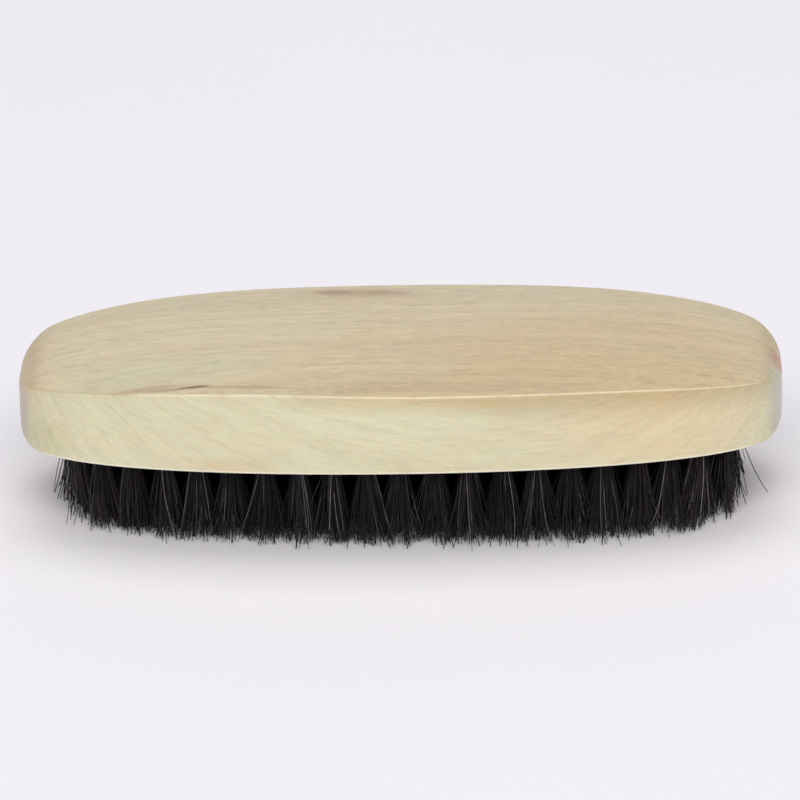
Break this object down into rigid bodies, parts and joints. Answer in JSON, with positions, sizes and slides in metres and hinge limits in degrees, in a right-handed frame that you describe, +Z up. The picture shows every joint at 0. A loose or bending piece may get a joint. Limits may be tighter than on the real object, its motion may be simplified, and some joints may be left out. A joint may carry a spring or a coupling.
{
  "type": "beard brush",
  "caption": "Handleless oval palm brush: a crowned pale wooden block, drilled underneath and filled with short, dense tufts of black bristle.",
  "frame": {"origin": "on the surface that the bristle tips stand on, under the middle of the block", "axes": "+X along the brush, +Y across it to the back side, +Z up from the bristle tips to the crown of the block"},
  "size_m": [0.122, 0.048, 0.0277],
  "materials": {
    "block_wood": "sanded smooth with a thin satin clear coat",
    "bristle": "natural black bristle with a soft sheen",
    "anchor_wire": "plain drawn flat wire"
  },
  "bodies": {
    "root": {"handle_block": "block_wood", "outer_ring_front_tufts": "bristle", "outer_ring_back_tufts": "bristle", "outer_ring_left_end_tufts": "bristle", "outer_ring_right_end_tufts": "bristle", "middle_ring_front_tufts": "bristle", "middle_ring_back_tufts": "bristle", "middle_ring_left_end_tufts": "bristle", "middle_ring_right_end_tufts": "bristle", "inner_ring_front_tufts": "bristle", "inner_ring_back_tufts": "bristle", "inner_ring_left_end_tufts": "bristle", "inner_ring_right_end_tufts": "bristle", "centre_row_tufts": "bristle", "outer_ring_front_anchors": "anchor_wire", "outer_ring_back_anchors": "anchor_wire", "outer_ring_left_end_anchors": "anchor_wire", "outer_ring_right_end_anchors": "anchor_wire", "middle_ring_front_anchors": "anchor_wire", "middle_ring_back_anchors": "anchor_wire", "middle_ring_left_end_anchors": "anchor_wire", "middle_ring_right_end_anchors": "anchor_wire", "inner_ring_front_anchors": "anchor_wire", "inner_ring_back_anchors": "anchor_wire", "inner_ring_left_end_anchors": "anchor_wire", "inner_ring_right_end_anchors": "anchor_wire", "centre_row_anchors": "anchor_wire"}
  },
  "joints": []
}
